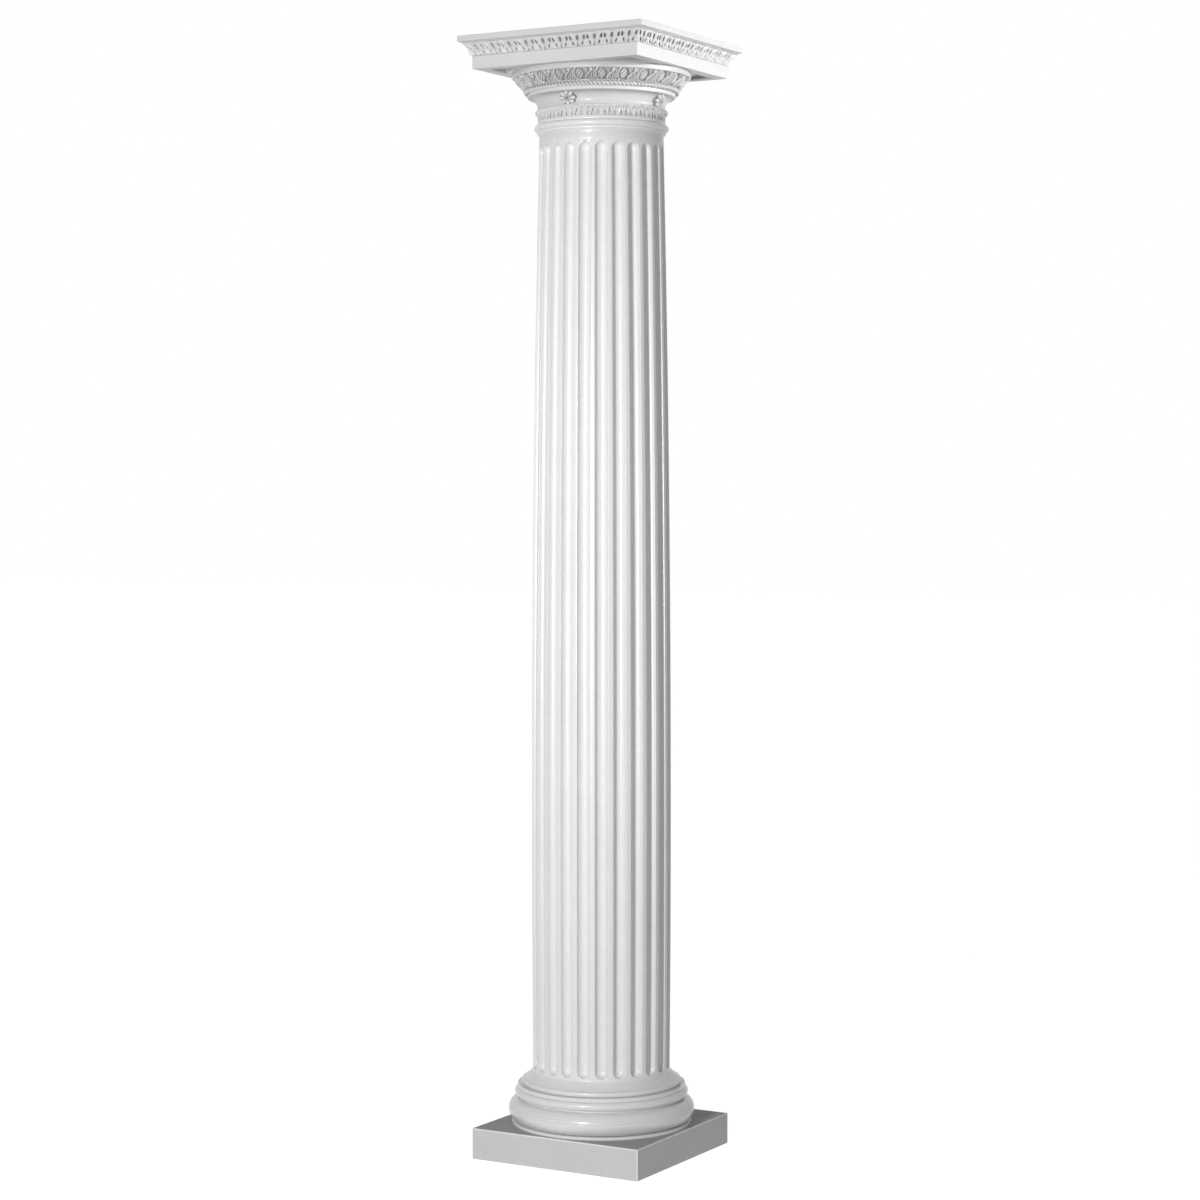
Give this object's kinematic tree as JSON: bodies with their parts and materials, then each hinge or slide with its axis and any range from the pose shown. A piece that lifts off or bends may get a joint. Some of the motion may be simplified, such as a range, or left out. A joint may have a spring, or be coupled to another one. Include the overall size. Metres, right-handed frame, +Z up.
{
  "type": "fluted column",
  "caption": "Fluted round column with a slight swell, on a round base and a square plinth, under a carved round capital and a square carved abacus.",
  "frame": {"origin": "centre of the plinth's underside, on the floor", "axes": "+Z up along the column's axis; -Y is the front face of the plinth and abacus, +X is to its right"},
  "size_m": [0.46, 0.46, 2.44],
  "materials": {
    "body_paint": "white satin-gloss paint over a moulded skin",
    "plinth_paint": "white low-sheen paint, faintly grained",
    "ornament_paint": "white satin-gloss paint over moulded carving"
  },
  "bodies": {
    "root": {"plinth": "plinth_paint", "base": "body_paint", "shaft": "body_paint", "capital": "ornament_paint", "abacus": "ornament_paint"}
  },
  "joints": []
}
